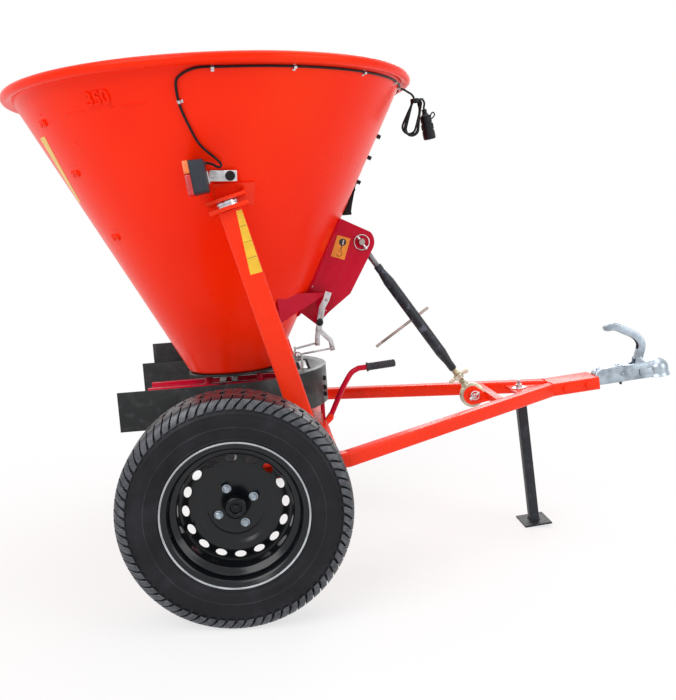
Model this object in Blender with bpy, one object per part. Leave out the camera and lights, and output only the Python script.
# Salt spreader towed behind a quad bike: a welded A-shaped drawbar on two wheels,
# a conical hopper above the axle, and a spinning disc driven by the left wheel.
# Metres, +X forward, +Y to the left, +Z up. The axle is at X 0 until the last lines,
# which move the whole part so that its origin lies under the middle of its box.

import math

import bmesh
import bpy
from mathutils import Matrix, Vector

# Clearance between touching pieces
GAP = 0.0003

# Stance on level ground
TYRE_RADIUS = 0.290
AXLE_HEIGHT = TYRE_RADIUS
FRAME_PITCH = math.radians(7.2)
HOPPER_LEAN = math.radians(3.2)

# Wheels: steel rims for 13 inch tyres, four bolts on a 98 mm circle
WHEEL_FACE = 0.627
WHEEL_SEGMENTS = 24
RIM_FLANGE_RADIUS = 0.1825
RIM_SEAT_RADIUS = 0.165
RIM_WELL_RADIUS = 0.145
RIM_WIDTH = 0.150
RIM_INSET = 0.055
RIM_WALL = 0.0035
DISC_WALL = 0.004
DISC_CREST_RADIUS = 0.1065
DISC_CREST = 0.0085
DISC_FLAT_RADIUS = 0.067
VENT_COUNT = 16
VENT_RADIUS = 0.125
VENT_LENGTH = 0.024
VENT_WIDTH = 0.015
VENT_TURN = math.radians(4)
BOLT_COUNT = 4
BOLT_TURN = math.radians(27)
BOLT_CIRCLE = 0.098
STUD_RADIUS = 0.006
NUT_RADIUS = 0.0105
NUT_HEIGHT = 0.013
TYRE_WIDTH = 0.160
TYRE_WALL = 0.010

# Hubs, axle and bearings
HUB_BORE_RADIUS = 0.029
HUB_RADIUS = 0.035
HUB_LENGTH = 0.105
HUB_FLANGE_RADIUS = 0.066
HUB_FLANGE = 0.014
HUB_CAP = 0.030
AXLE_RADIUS = 0.015
AXLE_CLEARANCE = 0.0003
BEARING_BOSS_RADIUS = 0.036
BEARING_BOSS = 0.030
BEARING_PLATE = 0.010
BEARING_PLATE_LENGTH = 0.090

# Chassis tubes, in the chassis frame: u forward, v to the left, w up
TUBE = 0.040
TUBE_CENTRE = 0.036
TUBE_CORNER = 0.004
RAIL_REAR = -0.060
RAIL_SPREAD = 0.490
RAIL_BEND = 0.300
NOSE_START = 1.012
NOSE_END = 1.165
NOSE_HALF_WIDTH = 0.058
NOSE_WALL = 0.016
FRONT_TUBE_REAR = 0.242
CROSS_TUBE = 0.025
CROSS_TUBE_REAR = 0.8035

# Ball coupling
SHANK_HALF_WIDTH = 0.028
SHANK_BOTTOM = 0.020
SHANK_TOP = 0.052
SHANK_START = 1.030
COUPLING_BODY_START = 1.1655
COUPLING_TOP = 0.0746
COUPLING_HALF_WIDTH = 0.027
COUPLING_BOTTOM = 0.021
BALL_CENTRE = 1.383
BALL_HEAD_RADIUS = 0.035
BALL_SOCKET_RADIUS = 0.0254
COUPLING_LIP = 1.421
COUPLING_BOLT_PLACES = (1.054, 1.128)
COUPLING_BOLT_RADIUS = 0.006
COUPLING_BOLT_HEAD_RADIUS = 0.010
COUPLING_BOLT_HEAD = 0.008
LEVER_PIVOT = (1.319, 0.0850)
LEVER_HALF_WIDTH = 0.0125
LEVER_PIN_RADIUS = 0.005
LATCH_HALF_WIDTH = 0.0128

# Support stand
STAND_PLACE = 0.918
STAND_PLATE = 0.006
STAND_PLATE_START = 0.892
STAND_PLATE_END = 1.0112
STAND_LEG = 0.030
FOOT_LENGTH = 0.090
FOOT_WIDTH = 0.110
FOOT_THICKNESS = 0.006
STAND_BOLT_RADIUS = 0.006
STAND_WASHER_RADIUS = 0.023

# Hopper, in the hopper frame, whose axis passes through the axle
HOPPER_SEGMENTS = 48
HOPPER_BOTTOM = 0.254
HOPPER_BOTTOM_RADIUS = 0.134
HOPPER_SLOPE = 0.5276
HOPPER_WALL = 0.006
RIM_CENTRE_HEIGHT = 1.088
RIM_ROLL_RADIUS = 0.014
RIM_ROLL_CENTRE = 0.588
OUTLET_SIDE = 0.065
OUTLET_LENGTH = 0.026
OUTLET_WIDTH = 0.060
SHAFT_HOLE_RADIUS = 0.0125
BASE_PLATE_RADIUS = 0.140
BASE_PLATE = 0.006
SHUTTER = 0.0037

# Spreading gear
SPINNER_RADIUS = 0.230
SPINNER_HEIGHT = 0.165
SPINNER_PLATE = 0.003
VANE_HEIGHT = 0.028
VANE_COUNT = 4
SHAFT_RADIUS = 0.010
SHAFT_BOTTOM = 0.042
SHAFT_TOP = 0.300
PINION_RADIUS = 0.015
CROWN_PITCH_RADIUS = 0.060
GEAR_WIDTH = 0.016
GEAR_CLEARANCE = 0.0004
GEARBOX_RADIUS = 0.0755
GEARBOX_WALL = 0.005
AGITATOR_BOTTOM = 0.268
AGITATOR_TOP = 0.450

# Guard, deflector and the welded frame that carries them
GUARD_RADIUS = 0.290
GUARD_WALL = 0.003
GUARD_REAR = -0.320
GUARD_BOTTOM = 0.137
GUARD_TOP = 0.250
GUARD_ROOF_REAR = 0.190
GUARD_STEPS = 16
SPREADER_BAR_BOTTOM = 0.200
SPREADER_BAR_TOP = 0.218
SPREADER_BAR_INNER = 0.045
SPREADER_BAR_OUTER = 0.065
SPREADER_REAR = -0.264

# Posts beside the hopper and the brackets on its wall
POST_LENGTHWISE = 0.060
POST_ACROSS = 0.040
POST_FOOT = 0.2176
POST_HEAD_HEIGHT = 0.732
POST_HEAD_STANDOFF = 0.06581
POST_HEAD_SPREAD = HOPPER_BOTTOM_RADIUS + HOPPER_SLOPE * (POST_HEAD_HEIGHT - HOPPER_BOTTOM) + POST_HEAD_STANDOFF
POST_FLANGE = 0.008
POST_FLANGE_LENGTH = 0.105
POST_FLANGE_WIDTH = 0.080
LEVELLING_NUT_RADIUS = 0.0275
LEVELLING_NUT = 0.015
WEB_THICKNESS = 0.006

# Top link from the hopper bracket down to the drawbar, in the middle plane (X, Z)
TOP_LINK_UPPER = (0.387, 0.931)
TOP_LINK_LOWER = (0.749, 0.436)
LINK_SCREW_RADIUS = 0.010
LINK_EYE_RADIUS = 0.024
LINK_EYE_WIDTH = 0.020
LOWER_EYE_RADIUS = 0.040
LINK_PIN_RADIUS = 0.010
LOWER_PIN_RADIUS = 0.008
SLEEVE_START = 0.093
SLEEVE_SWELL = 0.151
SLEEVE_TAPER = 0.443
SLEEVE_END = 0.508
SLEEVE_RADIUS = 0.0125
SLEEVE_SWELL_RADIUS = 0.0175
TOMMY_BAR_RADIUS = 0.0045
TOMMY_BAR_PLACE = 0.298
TOMMY_BAR_SHORT = 0.052
TOMMY_BAR_LONG = 0.1555
CHEEK_INNER = 0.041
CHEEK_OUTER = 0.047

# Levers
DOSING_PLATE_INNER = 0.078
DOSING_PLATE_OUTER = 0.082
DOSING_PIVOT = (0.2749, 0.3843)
DOSING_PIN_RADIUS = 0.005
PRONG_A = (0.2633, 0.3208)
PRONG_B = (0.3093, 0.3022)
DOSING_ROD_RADIUS = 0.003
ENGAGE_PIVOT = (0.2955, 0.062)
ENGAGE_SIDE = -0.050
ENGAGE_RADIUS = 0.0085
ENGAGE_TOP = 0.200
ENGAGE_GRIP_START = 0.428
ENGAGE_GRIP_LENGTH = 0.092

# Rear lamps
LAMP_HEIGHT = AXLE_HEIGHT + POST_HEAD_HEIGHT + 0.079
LAMP_SPREAD = POST_HEAD_SPREAD + 0.057
LAMP_CENTRE = (-0.0797, LAMP_SPREAD, LAMP_HEIGHT)
LAMP_LEAN = math.radians(10)
LAMP_HALF_WIDTH = 0.050
LAMP_HALF_HEIGHT = 0.043
LAMP_DEPTH = 0.0365
LENS_DEPTH = 0.0150
LAMP_STRIP = 0.003
LAMP_STRIP_INNER = POST_HEAD_SPREAD - 0.007
LAMP_STRIP_HEIGHT = LAMP_HEIGHT + 0.008
LAMP_STRIP_HALF = 0.014
GROMMET_RADIUS = 0.0127

# Lighting cable
CABLE_RADIUS = 0.00325
LIP_RUN_HEIGHT = 1.0690
HANK_EXIT = -6.0
FAR_CABLE_END = -0.6
HANK_LOOPS = 3
HANK_TOP_RADIUS = 0.0130
HANK_FOLD_RADIUS = 0.0195
HANK_DROP = 0.076
HANK_PITCH = 0.0085
HANK_POINTS_PER_LOOP = 24
HANK_TOP = (0.6240, -0.026, 1.0270)
PLUG_TOP = (0.6520, 0.0200, 1.0125)
PLUG_LEAN = Vector((0.150, 0, -0.989)).normalized()

TUBE_TOP = TUBE_CENTRE + TUBE / 2
BASE_PLATE_BOTTOM = HOPPER_BOTTOM - GAP - BASE_PLATE

for old in list(bpy.data.objects):
    bpy.data.objects.remove(old)

SIDES = (("left", 1.0), ("right", -1.0))


# Colours, roughness and metallic value of each surface
SURFACES = {
    "red_paint": ((0.80, 0.012, 0.010), 0.35, 0.0),
    "hopper_plastic": ((0.86, 0.024, 0.008), 0.30, 0.0),
    "zinc": ((0.70, 0.72, 0.73), 0.35, 1.0),
    "yellow_zinc": ((0.72, 0.63, 0.42), 0.35, 1.0),
    "tyre_rubber": ((0.020, 0.020, 0.022), 0.75, 0.0),
    "black_rim": ((0.015, 0.015, 0.016), 0.25, 0.0),
    "black_plastic": ((0.018, 0.018, 0.020), 0.45, 0.0),
    "black_paint": ((0.030, 0.027, 0.026), 0.50, 0.0),
    "grey_paint": ((0.075, 0.075, 0.080), 0.50, 0.0),
    "steel": ((0.45, 0.44, 0.42), 0.45, 1.0),
    "cast_iron": ((0.12, 0.12, 0.12), 0.60, 0.6),
    "stainless": ((0.60, 0.60, 0.60), 0.30, 1.0),
    "lens_plastic": ((0.85, 0.10, 0.03), 0.20, 0.0),
}


def surface(name):
    """The named material, made once."""
    if name in bpy.data.materials:
        return bpy.data.materials[name]
    colour, roughness, metallic = SURFACES[name]
    made = bpy.data.materials.new(name)
    made.use_nodes = True
    shader = made.node_tree.nodes["Principled BSDF"]
    shader.inputs["Base Color"].default_value = (*colour, 1.0)
    shader.inputs["Roughness"].default_value = roughness
    shader.inputs["Metallic"].default_value = metallic
    made.diffuse_color = (*colour, 1.0)
    return made


def empty(name, parent, matrix):
    """A frame that pieces are parented to."""
    made = bpy.data.objects.new(name, None)
    made.parent = parent
    made.matrix_local = matrix
    bpy.context.scene.collection.objects.link(made)
    return made


ROOT = empty("spreader", None, Matrix.Identity(4))
TO_CHASSIS = Matrix.Translation((0, 0, AXLE_HEIGHT)) @ Matrix.Rotation(-FRAME_PITCH, 4, "Y")
TO_HOPPER = Matrix.Translation((0, 0, AXLE_HEIGHT)) @ Matrix.Rotation(-HOPPER_LEAN, 4, "Y")
CHASSIS = empty("chassis_frame", ROOT, TO_CHASSIS)
HOPPER = empty("hopper_frame", ROOT, TO_HOPPER)
CHASSIS_IN_HOPPER = TO_HOPPER.inverted() @ TO_CHASSIS
WORLD_IN_HOPPER = TO_HOPPER.inverted()
WORLD_IN_CHASSIS = TO_CHASSIS.inverted()


# Modelling helpers

def link(name, data, material, parent, origin=(0, 0, 0)):
    """An object holding data that was modelled in its parent's frame, with its origin moved."""
    data.transform(Matrix.Translation(-Vector(origin)))
    made = bpy.data.objects.new(name, data)
    made.data.materials.append(surface(material))
    made.parent = parent
    made.location = origin
    bpy.context.scene.collection.objects.link(made)
    return made


def from_bmesh(name, bm, material, parent, origin=(0, 0, 0), round_piece=False):
    """Close a bmesh into an object, with its faces turned outwards."""
    bmesh.ops.recalc_face_normals(bm, faces=bm.faces)
    mesh = bpy.data.meshes.new(name)
    bm.to_mesh(mesh)
    bm.free()
    if round_piece:
        mesh.shade_smooth()
        mesh.set_sharp_from_angle(angle=math.radians(35))
    return link(name, mesh, material, parent, origin)


def add_prism(bm, outline, low, high, axis):
    """Extrude an outline, a list of points in the other two directions, from low to high."""
    def corner(point, along):
        first, second = point
        return {"x": (along, first, second), "y": (first, along, second), "z": (first, second, along)}[axis]

    lower = [bm.verts.new(corner(point, low)) for point in outline]
    upper = [bm.verts.new(corner(point, high)) for point in outline]
    bm.faces.new(lower)
    bm.faces.new(upper)
    for i in range(len(outline)):
        j = (i + 1) % len(outline)
        bm.faces.new((lower[i], lower[j], upper[j], upper[i]))


def prism(name, outline, low, high, axis, material, parent, origin=(0, 0, 0)):
    """One extruded outline as an object."""
    bm = bmesh.new()
    add_prism(bm, outline, low, high, axis)
    return from_bmesh(name, bm, material, parent, origin)


def box(name, low, high, material, parent, origin=(0, 0, 0)):
    """A box between two opposite corners."""
    outline = [(low[0], low[1]), (high[0], low[1]), (high[0], high[1]), (low[0], high[1])]
    return prism(name, outline, low[2], high[2], "z", material, parent, origin)


def add_turned(bm, profile, base, direction, segments, phase=0.0):
    """Spin a profile of (radius, distance along the axis) into a closed solid."""
    verts = [bm.verts.new((radius, 0, along)) for radius, along in profile]
    pairs = list(zip(verts, verts[1:])) + [(verts[-1], verts[0])]
    edges = [bm.edges.new((a, b)) for a, b in pairs if a.co.x > 0 or b.co.x > 0]
    before = set(bm.verts) - set(verts)
    bmesh.ops.spin(
        bm, geom=verts + edges, cent=(0, 0, 0), axis=(0, 0, 1), angle=2 * math.pi,
        steps=segments, use_duplicate=False,
    )
    made = [vert for vert in bm.verts if vert not in before]
    bmesh.ops.remove_doubles(bm, verts=made, dist=1e-5)
    made = [vert for vert in bm.verts if vert not in before]
    turn = Vector((0, 0, 1)).rotation_difference(Vector(direction)).to_matrix().to_4x4()
    matrix = Matrix.Translation(base) @ turn @ Matrix.Rotation(phase, 4, "Z")
    bmesh.ops.transform(bm, matrix=matrix, verts=made)


def turned(name, profile, base, direction, segments, material, parent, origin=(0, 0, 0), phase=0.0):
    """One turned piece as an object."""
    bm = bmesh.new()
    add_turned(bm, profile, base, direction, segments, phase)
    return from_bmesh(name, bm, material, parent, origin, round_piece=True)


def add_rod(bm, start, end, radius, segments=16, end_radius=None):
    """A plain round bar between two points, tapered where end_radius is given."""
    start, end = Vector(start), Vector(end)
    tip = radius if end_radius is None else end_radius
    length = (end - start).length
    add_turned(bm, [(0, 0), (radius, 0), (tip, length), (0, length)], start, end - start, segments)


def rod(name, start, end, radius, material, parent, segments=16, origin=(0, 0, 0)):
    """A round bar as an object."""
    bm = bmesh.new()
    add_rod(bm, start, end, radius, segments)
    return from_bmesh(name, bm, material, parent, origin, round_piece=True)


def add_strut(bm, section, across, up, start, end, start_normal=None, end_normal=None):
    """Sweep a section from start to end, cut off along the planes with the given normals."""
    start, end, across, up = Vector(start), Vector(end), Vector(across), Vector(up)
    direction = (end - start).normalized()
    rings = []
    for place, normal in ((start, start_normal), (end, end_normal)):
        normal = direction if normal is None else Vector(normal)
        ring = []
        for a, b in section:
            offset = across * a + up * b
            slide = -offset.dot(normal) / direction.dot(normal)
            ring.append(bm.verts.new(place + offset + direction * slide))
        rings.append(ring)
    bm.faces.new(rings[0])
    bm.faces.new(rings[1])
    for i in range(len(section)):
        j = (i + 1) % len(section)
        bm.faces.new((rings[0][i], rings[0][j], rings[1][j], rings[1][i]))


def add_pipe(bm, points, radius, sides):
    """A round bar along a route that lies in a plane of constant second coordinate."""
    rings = []
    for i, point in enumerate(points):
        before = (point - points[max(0, i - 1)]).normalized()
        after = (points[min(len(points) - 1, i + 1)] - point).normalized()
        along = (before + after).normalized()
        across = Vector((0, 1, 0))
        up = along.cross(across)
        stretch = 1 / max(0.5, along.dot(after if after.length else before))
        ring = []
        for side in range(sides):
            angle = 2 * math.pi * (side + 0.5) / sides
            ring.append(bm.verts.new(point + across * radius * math.cos(angle) + up * radius * stretch * math.sin(angle)))
        rings.append(ring)
    for first, second in zip(rings, rings[1:]):
        for i in range(sides):
            j = (i + 1) % sides
            bm.faces.new((first[i], first[j], second[j], second[i]))
    bm.faces.new(rings[0])
    bm.faces.new(rings[-1])


def rectangle(width, height, corner=0.0):
    """A rectangle about its middle, with chamfered corners where corner is given."""
    w, h, c = width / 2, height / 2, corner
    if not c:
        return [(-w, -h), (w, -h), (w, h), (-w, h)]
    return [(-w + c, -h), (w - c, -h), (w, -h + c), (w, h - c), (w - c, h), (-w + c, h), (-w, h - c), (-w, -h + c)]


def arc(centre, radius, start, end, steps):
    """Points on an arc, its ends included; angles in degrees."""
    points = []
    for i in range(steps + 1):
        angle = math.radians(start + (end - start) * i / steps)
        points.append((centre[0] + radius * math.cos(angle), centre[1] + radius * math.sin(angle)))
    return points


def tool(made):
    """Mark an object as a cutter or a part to be joined."""
    made.hide_render = True
    made.display_type = "WIRE"
    return made


def combine(target, other, operation):
    """Join another solid to the target, or cut it out of the target."""
    modifier = target.modifiers.new(f"{operation.lower()} {other.name}", "BOOLEAN")
    modifier.operation = operation
    modifier.solver = "EXACT"
    modifier.object = tool(other)


def cut(target, *others):
    for other in others:
        combine(target, other, "DIFFERENCE")


def join(target, *others):
    for other in others:
        combine(target, other, "UNION")


def smooth_curve(points, steps):
    """Points read evenly from a smooth curve through the given points."""
    points = [Vector(point) for point in points]
    padded = [2 * points[0] - points[1]] + points + [2 * points[-1] - points[-2]]
    result = [points[0].copy()]
    for i in range(1, len(padded) - 2):
        a, b, c, d = padded[i - 1:i + 3]
        for step in range(1, steps + 1):
            t = step / steps
            result.append(0.5 * (
                2 * b + (c - a) * t + (2 * a - 5 * b + 4 * c - d) * t * t
                + (3 * b - 3 * c + d - a) * t ** 3
            ))
    return result


def evenly(points, spacing):
    """The same route with its points at an even spacing."""
    lengths = [0.0]
    for a, b in zip(points, points[1:]):
        lengths.append(lengths[-1] + (b - a).length)
    count = max(2, round(lengths[-1] / spacing))
    result = []
    place = 0
    for i in range(count + 1):
        target = lengths[-1] * i / count
        while place < len(points) - 2 and lengths[place + 1] < target:
            place += 1
        span = lengths[place + 1] - lengths[place]
        t = (target - lengths[place]) / span if span else 0.0
        result.append(points[place].lerp(points[place + 1], min(1.0, t)))
    return result


def cable(name, points, parent, bevel_resolution):
    """A round cable along a list of points, with closed ends."""
    curve = bpy.data.curves.new(name, "CURVE")
    curve.dimensions = "3D"
    curve.bevel_depth = CABLE_RADIUS
    curve.bevel_resolution = bevel_resolution
    curve.use_fill_caps = True
    spline = curve.splines.new("POLY")
    spline.points.add(len(points) - 1)
    for spline_point, point in zip(spline.points, points):
        spline_point.co = (*point, 1.0)
    return link(name, curve, "black_plastic", parent)


def wall_radius(height):
    """Outer radius of the hopper's wall at a height in the hopper frame."""
    return HOPPER_BOTTOM_RADIUS + HOPPER_SLOPE * (height - HOPPER_BOTTOM)


def hopper_point(degrees, height, off=0.0):
    """A point beside the hopper's wall, off metres out from it."""
    radius = wall_radius(height) + off * math.hypot(1, HOPPER_SLOPE)
    angle = math.radians(degrees)
    return Vector((radius * math.cos(angle), radius * math.sin(angle), height))


# Wheels

def rim_profile():
    """Section of the rim with its disc, as (radius, distance out from the mounting face)."""
    outer, inner = RIM_WIDTH - RIM_INSET, -RIM_INSET
    lip, seat, well, wall = RIM_FLANGE_RADIUS, RIM_SEAT_RADIUS, RIM_WELL_RADIUS, RIM_WALL
    bead = 0.010
    tyre_side = [
        (lip, outer), (lip, outer - wall), (seat, outer - bead), (seat, outer - 0.035),
        (well, outer - 0.045), (well, inner + 0.045), (seat, inner + 0.035),
        (seat, inner + bead), (lip, inner + wall), (lip, inner),
    ]
    disc_inner = [
        (seat - wall, inner + bead - wall), (well - wall, inner + 0.045 + wall), (well - wall, 0),
        (DISC_CREST_RADIUS, DISC_CREST), (DISC_FLAT_RADIUS, 0), (HUB_BORE_RADIUS, 0),
    ]
    disc_outer = [
        (HUB_BORE_RADIUS, DISC_WALL), (DISC_FLAT_RADIUS, DISC_WALL),
        (DISC_CREST_RADIUS, DISC_CREST + DISC_WALL), (well - wall, DISC_WALL),
        (well - wall, outer - 0.045 - wall), (seat - wall, outer - bead + wall),
    ]
    return tyre_side + disc_inner + disc_outer


def tyre_profile():
    """Section of the tyre, as (radius, distance from the rim's middle), outer skin then inner.

    The tread's corners stand out so that the flats between them lie at the tyre's radius.
    """
    half = TYRE_WIDTH / 2
    tread = TYRE_RADIUS / math.cos(math.pi / WHEEL_SEGMENTS)
    seat = RIM_SEAT_RADIUS + GAP
    bead = RIM_WIDTH / 2 - RIM_WALL - 0.0015
    outer = [
        (seat, bead - 0.0085), (RIM_FLANGE_RADIUS - 0.010, bead - 0.003), (RIM_FLANGE_RADIUS + 0.0005, bead),
        (0.235, half), (tread - 0.015, half - 0.010), (tread, half - 0.036),
    ]
    inner = [(tread - TYRE_WALL, 0.042), (0.235, half - TYRE_WALL), (seat, bead - 0.018)]
    skin = outer + [(radius, -along) for radius, along in reversed(outer)]
    lining = [(radius, -along) for radius, along in reversed(inner)] + inner
    return skin + lining


def wheel(side, sign):
    """Rim, tyre and hub of one wheel, each with its origin on the wheel's axis."""
    face = Vector((0, sign * WHEEL_FACE, AXLE_HEIGHT))
    out = Vector((0, sign, 0))
    middle = face + out * (RIM_WIDTH / 2 - RIM_INSET)
    phase = math.pi / WHEEL_SEGMENTS

    rim = turned(f"rim_{side}", rim_profile(), face, out, WHEEL_SEGMENTS, "black_rim", ROOT, face, phase)
    vents = bmesh.new()
    for i in range(VENT_COUNT):
        angle = VENT_TURN + 2 * math.pi * i / VENT_COUNT
        radial = Vector((math.cos(angle), 0, math.sin(angle)))
        tangent = Vector((-math.sin(angle), 0, math.cos(angle)))
        long, wide = VENT_LENGTH / 2, VENT_WIDTH / 2
        oval = [(-long, 0), (-long / 2, -wide), (long / 2, -wide), (long, 0), (long / 2, wide), (-long / 2, wide)]
        place = face + radial * VENT_RADIUS
        add_strut(vents, oval, tangent, radial, place - out * 0.02, place + out * 0.03)
    cut(rim, from_bmesh(f"vent_cutter_{side}", vents, "black_rim", ROOT))

    turned(f"tyre_{side}", tyre_profile(), middle, out, WHEEL_SEGMENTS, "tyre_rubber", ROOT, face, phase)

    hub_profile = [
        (0, HUB_CAP), (0.020, HUB_CAP), (HUB_BORE_RADIUS - 0.001, HUB_CAP - 0.008),
        (HUB_BORE_RADIUS - 0.001, -GAP), (HUB_FLANGE_RADIUS, -GAP),
        (HUB_FLANGE_RADIUS, -HUB_FLANGE), (HUB_RADIUS, -HUB_FLANGE), (HUB_RADIUS, -HUB_LENGTH),
        (AXLE_RADIUS + AXLE_CLEARANCE, -HUB_LENGTH), (AXLE_RADIUS + AXLE_CLEARANCE, 0.013), (0, 0.013),
    ]
    hub = turned(f"hub_{side}", hub_profile, face, out, 16, "cast_iron", ROOT, face)
    studs = bmesh.new()
    holes = bmesh.new()
    for i in range(BOLT_COUNT):
        angle = BOLT_TURN + 2 * math.pi * i / BOLT_COUNT
        place = face + Vector((math.cos(angle), 0, math.sin(angle))) * BOLT_CIRCLE / 2
        nut = DISC_WALL + GAP
        stud = [
            (0, -HUB_FLANGE / 2), (STUD_RADIUS, -HUB_FLANGE / 2), (STUD_RADIUS, nut),
            (NUT_RADIUS, nut), (NUT_RADIUS, nut + NUT_HEIGHT), (0, nut + NUT_HEIGHT),
        ]
        add_turned(studs, stud, place, out, 6)
        add_rod(holes, place - out * 0.01, place + out * 0.01, STUD_RADIUS + 0.0008, 8)
    join(hub, from_bmesh(f"wheel_studs_{side}", studs, "cast_iron", ROOT))
    cut(rim, from_bmesh(f"bolt_hole_cutter_{side}", holes, "black_rim", ROOT))


def axle():
    """The driven shaft through both hubs, and a bearing under each rail."""
    middle = Vector((0, 0, AXLE_HEIGHT))
    reach = Vector((0, WHEEL_FACE + 0.0127, 0))
    rod("axle_shaft", middle - reach, middle + reach, AXLE_RADIUS, "steel", ROOT, 16, middle)
    bore = AXLE_RADIUS + AXLE_CLEARANCE
    outer = RAIL_SPREAD - TUBE / 2 - GAP
    for side, sign in SIDES:
        half = BEARING_PLATE_LENGTH / 2
        outline = [(-half, TUBE_TOP), (-half, -0.020), (-0.030, -0.045), (0.030, -0.045), (half, -0.020), (half, TUBE_TOP)]
        low, high = sorted((sign * outer, sign * (outer - BEARING_PLATE)))
        bearing = prism(f"axle_bearing_{side}", outline, low, high, "y", "cast_iron", CHASSIS)
        start = Vector((0, sign * (outer - BEARING_BOSS), 0))
        join(bearing, rod(f"bearing_boss_{side}", start, (0, sign * (outer - 0.001), 0),
                          BEARING_BOSS_RADIUS, "cast_iron", CHASSIS, 16))
        cut(bearing, rod(f"bearing_bore_{side}", start - Vector((0, sign * 0.02, 0)),
                         (0, sign * (outer + 0.02), 0), bore, "cast_iron", CHASSIS, 16))


# Chassis

def beam_direction(sign):
    """Direction of a drawbar beam, from the rail's bend to the nose."""
    rise = Vector((NOSE_START, sign * (NOSE_HALF_WIDTH - TUBE / 2), 0)) - Vector((RAIL_BEND, sign * RAIL_SPREAD, 0))
    return rise.normalized()


def beam_centre(place, sign=1.0):
    """Sideways place of a drawbar beam's middle at a distance forward."""
    inner = NOSE_HALF_WIDTH - TUBE / 2
    return sign * (RAIL_SPREAD - (place - RAIL_BEND) * (RAIL_SPREAD - inner) / (NOSE_START - RAIL_BEND))


def chassis():
    """Rails, drawbar beams, nose box and cross tubes, all welded square tubes."""
    section = rectangle(TUBE, TUBE, TUBE_CORNER)
    for side, sign in SIDES:
        along = beam_direction(sign)
        mitre = (Vector((1, 0, 0)) + along).normalized()
        bend = Vector((RAIL_BEND, sign * RAIL_SPREAD, TUBE_CENTRE))
        bm = bmesh.new()
        add_strut(bm, section, (0, 1, 0), (0, 0, 1), (RAIL_REAR, sign * RAIL_SPREAD, TUBE_CENTRE), bend,
                  None, mitre)
        from_bmesh(f"side_rail_{side}", bm, "red_paint", CHASSIS)
        across = Vector((0, 0, 1)).cross(along)
        nose = Vector((NOSE_START - GAP, beam_centre(NOSE_START - GAP, sign), TUBE_CENTRE))
        bm = bmesh.new()
        add_strut(bm, section, across, (0, 0, 1), bend + along * 1.1 * GAP, nose, mitre, (1, 0, 0))
        from_bmesh(f"drawbar_beam_{side}", bm, "red_paint", CHASSIS)

    rail_inner = RAIL_SPREAD - TUBE / 2 - GAP
    bm = bmesh.new()
    centre = FRONT_TUBE_REAR + TUBE / 2
    add_strut(bm, section, (1, 0, 0), (0, 0, 1), (centre, -rail_inner, TUBE_CENTRE), (centre, rail_inner, TUBE_CENTRE))
    from_bmesh("frame_front_tube", bm, "red_paint", CHASSIS)

    half_cut = TUBE / 2 / beam_direction(1.0).x + GAP
    front = CROSS_TUBE_REAR + CROSS_TUBE
    rear_half = beam_centre(CROSS_TUBE_REAR) - half_cut
    front_half = beam_centre(front) - half_cut
    outline = [(CROSS_TUBE_REAR, -rear_half), (front, -front_half), (front, front_half), (CROSS_TUBE_REAR, rear_half)]
    prism("drawbar_cross_tube", outline, TUBE_TOP - CROSS_TUBE, TUBE_TOP, "z", "red_paint", CHASSIS)
    nose_box()
    link_lug()


def nose_box():
    """Box at the drawbar's end: open to the front, with two cross bolts through it."""
    half, wall = NOSE_HALF_WIDTH, NOSE_WALL
    outline = rectangle(2 * half, TUBE, TUBE_CORNER)
    outline = [(y, z + TUBE_CENTRE) for y, z in outline]
    nose = prism("drawbar_nose", outline, NOSE_START, NOSE_END, "x", "red_paint", CHASSIS)
    slot = SHANK_HALF_WIDTH + 0.0005
    cut(nose, box("nose_cavity", (NOSE_START + wall, -slot, SHANK_BOTTOM - GAP),
                  (NOSE_END + 0.01, slot, SHANK_TOP + GAP), "red_paint", CHASSIS))
    bm = bmesh.new()
    for place in COUPLING_BOLT_PLACES:
        reach = half + COUPLING_BOLT_HEAD
        profile = [
            (0, -reach), (COUPLING_BOLT_HEAD_RADIUS, -reach), (COUPLING_BOLT_HEAD_RADIUS, -half + 0.001),
            (COUPLING_BOLT_RADIUS, -half + 0.001), (COUPLING_BOLT_RADIUS, half - 0.001),
            (COUPLING_BOLT_HEAD_RADIUS, half - 0.001), (COUPLING_BOLT_HEAD_RADIUS, reach), (0, reach),
        ]
        add_turned(bm, profile, (place, 0, TUBE_CENTRE), (0, 1, 0), 10)
    join(nose, from_bmesh("nose_bolts", bm, "red_paint", CHASSIS))


def link_lug():
    """Fork behind and under the cross tube, which holds the top link's lower pin."""
    pin = lower_pin_place()
    reach = 0.031
    bottom = TUBE_TOP - CROSS_TUBE - 0.006 - GAP
    under = TUBE_TOP - CROSS_TUBE - GAP
    front = CROSS_TUBE_REAR + CROSS_TUBE
    rear_face = CROSS_TUBE_REAR - GAP
    outline = arc(pin, reach, 70, 275, 10)
    outline += [(rear_face, bottom), (front, bottom), (front, under), (rear_face, under), (rear_face, pin[1])]
    inner, outer = LINK_EYE_WIDTH / 2 + GAP, LINK_EYE_WIDTH / 2 + 0.0065
    lug = prism("lower_link_lug", outline, -outer, outer, "y", "red_paint", CHASSIS)
    slot = [(pin[0] - 0.08, 0.12), (pin[0] - 0.08, -0.05), (rear_face + 0.001, -0.05), (rear_face + 0.001, 0.12)]
    cut(lug, prism("lug_slot", slot, -inner, inner, "y", "red_paint", CHASSIS))
    bore = LOWER_PIN_RADIUS + GAP
    cut(lug, rod("lug_bore", (pin[0], -0.05, pin[1]), (pin[0], 0.05, pin[1]), bore, "red_paint", CHASSIS, 12))


def lower_pin_place():
    """The top link's lower pin in the chassis frame, as (u, w)."""
    place = WORLD_IN_CHASSIS @ Vector((TOP_LINK_LOWER[0], 0, TOP_LINK_LOWER[1]))
    return place.x, place.z


# Ball coupling

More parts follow.
